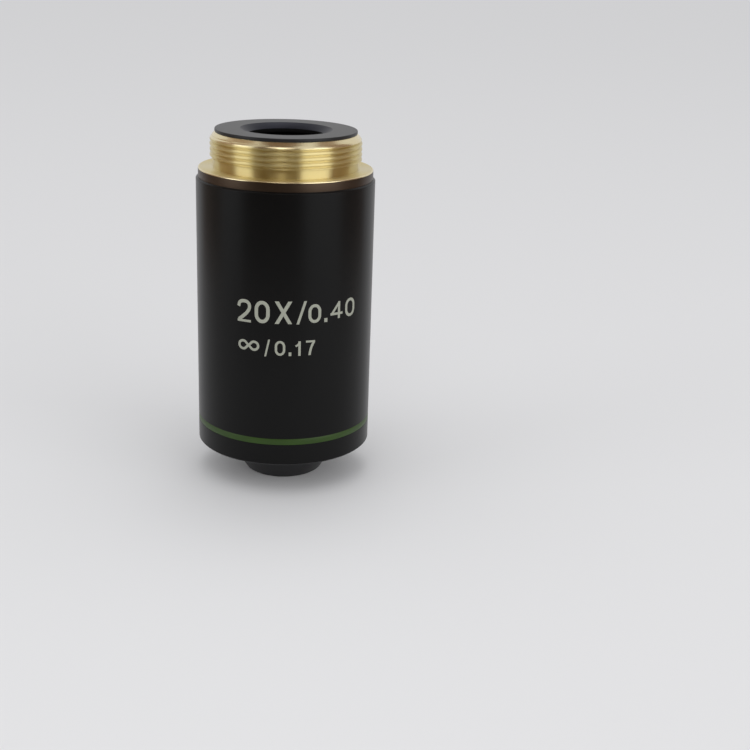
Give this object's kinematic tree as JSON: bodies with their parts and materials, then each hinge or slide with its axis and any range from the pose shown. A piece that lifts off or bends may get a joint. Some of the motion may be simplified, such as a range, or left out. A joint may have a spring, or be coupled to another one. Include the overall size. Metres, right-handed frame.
{
  "type": "microscope objective",
  "caption": "Sprung microscope objective with a black sleeve, a green band, a brass mounting thread with shoulder, a conical nose and cemented lenses inside.",
  "frame": {"origin": "centre of the front rim's plane, on the optical axis, where the part stands", "axes": "+Z along the optical axis, from the front lens to the mounting thread; +Y towards the guide screw; -Y towards the lettering"},
  "size_m": [0.024, 0.024, 0.048],
  "materials": {
    "turned_brass": "bright turned thread and shoulder face, dark bronze shoulder rim",
    "black_anodised": "smooth satin black",
    "black_stop": "satin black, turned",
    "green_enamel": "dull enamel",
    "blackened_brass": "matt black oxide",
    "black_nose": "satin black chrome",
    "spring_steel": "plain",
    "shim_brass": "plain rolled sheet",
    "crown_glass": "polished and coated",
    "flint_glass": "polished"
  },
  "bodies": {
    "barrel": {"thread_mount": "turned_brass", "rear_stop_ring": "black_stop", "outer_sleeve": "black_anodised", "colour_band": "green_enamel", "guide_screw": "spring_steel", "parfocal_shim": "shim_brass", "return_spring": "spring_steel"},
    "nose": {"lens_tube": "blackened_brass", "nose_cone": "black_nose", "front_lens_cell": "blackened_brass", "front_lens": "crown_glass", "front_spacer": "blackened_brass", "middle_lens_cell": "blackened_brass", "middle_flint_lens": "flint_glass", "middle_crown_lens": "crown_glass", "lens_spacer": "blackened_brass", "rear_lens_cell": "blackened_brass", "rear_flint_lens": "flint_glass", "rear_crown_lens": "crown_glass", "pupil_stop": "blackened_brass", "lens_lock_ring": "blackened_brass"}
  },
  "joints": [
    {"name": "nose_retract", "type": "slide", "parent": "barrel", "child": "nose", "axis": [0, 0, 1], "range_m": [0, 0.0025], "stiffness_N_per_m": 280, "springref_m": -0.0071, "deforming": ["return_spring"]}
  ]
}
